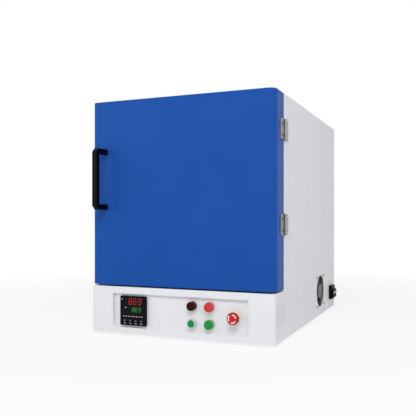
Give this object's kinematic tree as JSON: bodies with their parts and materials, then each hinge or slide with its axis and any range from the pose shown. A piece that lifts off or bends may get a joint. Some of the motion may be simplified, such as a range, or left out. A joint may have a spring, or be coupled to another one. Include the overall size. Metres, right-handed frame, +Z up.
{
  "type": "muffle furnace",
  "caption": "Bench muffle furnace: insulated hinged door over a ceramic-fibre chamber, on a console with a temperature controller, buttons, lamps and emergency stop.",
  "frame": {"origin": "under the middle of the whole part, on the plane of the feet", "axes": "+X to the right seen from the front, +Y to the rear, +Z up"},
  "size_m": [0.6776, 0.946, 0.778],
  "materials": {
    "white_paint": "smooth powder coat",
    "blue_paint": "glossy powder coat",
    "stainless": "satin",
    "zinc_sheet": "galvanised",
    "screw_steel": "plated",
    "fibre_board": "vacuum-formed ceramic fibre",
    "fibre_rope": "woven",
    "hearth_ceramic": "fired, matt",
    "heating_alloy": "oxidised",
    "probe_ceramic": "glazed",
    "magnet": "ground",
    "black_plastic": "fine texture",
    "display_window": "gloss",
    "key_plastic": "satin",
    "bright_shroud": "polished",
    "dark_red_plastic": "gloss",
    "red_lens": "translucent",
    "green_lens": "translucent",
    "green_plastic": "gloss",
    "estop_red": "gloss",
    "stem_plastic": "plain",
    "toggle_plastic": "gloss",
    "foot_rubber": "matt",
    "sink_aluminium": "extruded"
  },
  "bodies": {
    "cabinet": {"left_side_panel": "white_paint", "right_side_panel": "white_paint", "console_front": "white_paint", "control_plate": "white_paint", "base_pan": "zinc_sheet", "feet": "foot_rubber", "deck_plate": "zinc_sheet", "front_frame": "stainless", "top_cover": "white_paint", "rear_panel": "white_paint", "cover_screws": "screw_steel", "inner_casing": "zinc_sheet", "insulation_floor": "fibre_board", "insulation_roof": "fibre_board", "insulation_left": "fibre_board", "insulation_right": "fibre_board", "insulation_back": "fibre_board", "hearth_plate": "hearth_ceramic", "left_element": "heating_alloy", "right_element": "heating_alloy", "terminal_bushes": "probe_ceramic", "thermocouple": "probe_ceramic", "magnetic_catch": "magnet", "frame_leaves": "stainless", "hinge_pins": "stainless", "frame_hinge_screws": "screw_steel", "controller_case": "black_plastic", "controller_window": "display_window", "stop_button_body": "black_plastic", "start_button_body": "bright_shroud", "lamp_bodies": "black_plastic", "red_lamp_lens": "red_lens", "green_lamp_lens": "green_lens", "estop_body": "black_plastic", "fan_frame": "black_plastic", "fan_screws": "screw_steel", "mains_breaker": "black_plastic", "cable_gland": "black_plastic", "relay_heatsink": "sink_aluminium", "power_relay": "black_plastic"},
    "door": {"door_skin": "blue_paint", "door_back_pan": "stainless", "door_insulation": "fibre_board", "door_plug": "fibre_board", "door_gasket": "fibre_rope", "catch_plate": "stainless", "door_leaves": "stainless", "door_hinge_screws": "screw_steel", "handle": "black_plastic", "handle_screws": "screw_steel"},
    "fan_rotor": {"fan_rotor": "black_plastic"},
    "stop_button": {"stop_button": "dark_red_plastic"},
    "start_button": {"start_button": "green_plastic"},
    "estop_stem": {"estop_stem": "stem_plastic"},
    "estop_head": {"estop_head": "estop_red"},
    "breaker_toggle": {"breaker_toggle": "toggle_plastic"},
    "key_set": {"key_set": "key_plastic"},
    "key_shift": {"key_shift": "key_plastic"},
    "key_down": {"key_down": "key_plastic"},
    "key_up": {"key_up": "key_plastic"}
  },
  "joints": [
    {"name": "door_hinge", "type": "hinge", "parent": "cabinet", "child": "door", "pos_m": [0.3166, -0.32, 0.4695], "axis": [0, 0, 1], "range_deg": [0, 160]},
    {"name": "fan_spin", "type": "hinge", "parent": "cabinet", "child": "fan_rotor", "pos_m": [0.2907, 0.182, 0.1005], "axis": [1, 0, 0], "continuous": true},
    {"name": "stop_button_push", "type": "slide", "parent": "cabinet", "child": "stop_button", "axis": [0, 1, 0], "range_m": [0, 0.003], "stiffness_N_per_m": 600, "springref_m": -0.002},
    {"name": "start_button_push", "type": "slide", "parent": "cabinet", "child": "start_button", "axis": [0, 1, 0], "range_m": [0, 0.003], "stiffness_N_per_m": 600, "springref_m": -0.002},
    {"name": "estop_push", "type": "slide", "parent": "cabinet", "child": "estop_stem", "axis": [0, 1, 0], "range_m": [0, 0.0045]},
    {"name": "estop_twist", "type": "hinge", "parent": "estop_stem", "child": "estop_head", "pos_m": [0.1822, -0.426, 0.0835], "axis": [0, 1, 0], "range_deg": [0, 40], "stiffness_Nm_per_rad": 0.05, "springref_deg": -11.46},
    {"name": "breaker_switch", "type": "hinge", "parent": "cabinet", "child": "breaker_toggle", "pos_m": [0.3232, 0.3675, 0.0705], "axis": [0, 1, 0], "range_deg": [0, 56]},
    {"name": "key_set_push", "type": "slide", "parent": "cabinet", "child": "key_set", "axis": [0, 1, 0], "range_m": [0, 0.0008], "stiffness_N_per_m": 400, "springref_m": -0.001},
    {"name": "key_shift_push", "type": "slide", "parent": "cabinet", "child": "key_shift", "axis": [0, 1, 0], "range_m": [0, 0.0008], "stiffness_N_per_m": 400, "springref_m": -0.001},
    {"name": "key_down_push", "type": "slide", "parent": "cabinet", "child": "key_down", "axis": [0, 1, 0], "range_m": [0, 0.0008], "stiffness_N_per_m": 400, "springref_m": -0.001},
    {"name": "key_up_push", "type": "slide", "parent": "cabinet", "child": "key_up", "axis": [0, 1, 0], "range_m": [0, 0.0008], "stiffness_N_per_m": 400, "springref_m": -0.001}
  ]
}
